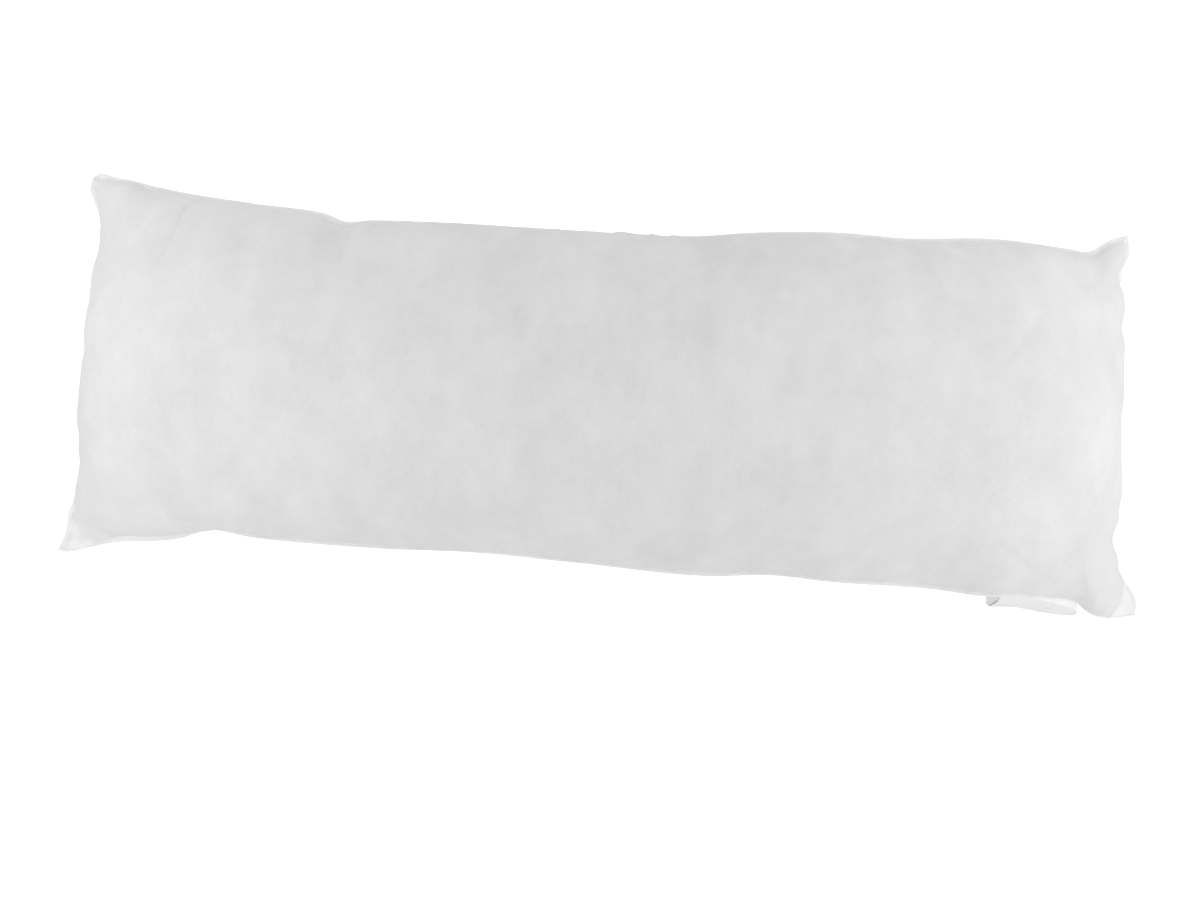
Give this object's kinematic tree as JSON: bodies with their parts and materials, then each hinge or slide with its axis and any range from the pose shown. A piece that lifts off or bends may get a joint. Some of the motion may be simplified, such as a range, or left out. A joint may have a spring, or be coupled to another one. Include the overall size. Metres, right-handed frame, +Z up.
{
  "type": "throw pillow insert",
  "caption": "Long filled pillow insert with a white spunbond cover, a thin sewn edge all round, four soft corner ears and a folded bare care label in one long seam.",
  "frame": {"origin": "middle of the pillow's box, on the surface that it lies on", "axes": "+X along the pillow, towards the end by which the label is sewn in; +Y towards the long seam without the label; +Z up through the crown"},
  "size_m": [0.9026, 0.3212, 0.1563],
  "materials": {
    "cover": "matt white spunbond non-woven, bonded in a fine diamond of points",
    "label": "smooth white label cloth with a faint sheen"
  },
  "bodies": {
    "root": {"pillow_body": "cover", "care_label": "label"}
  },
  "joints": []
}
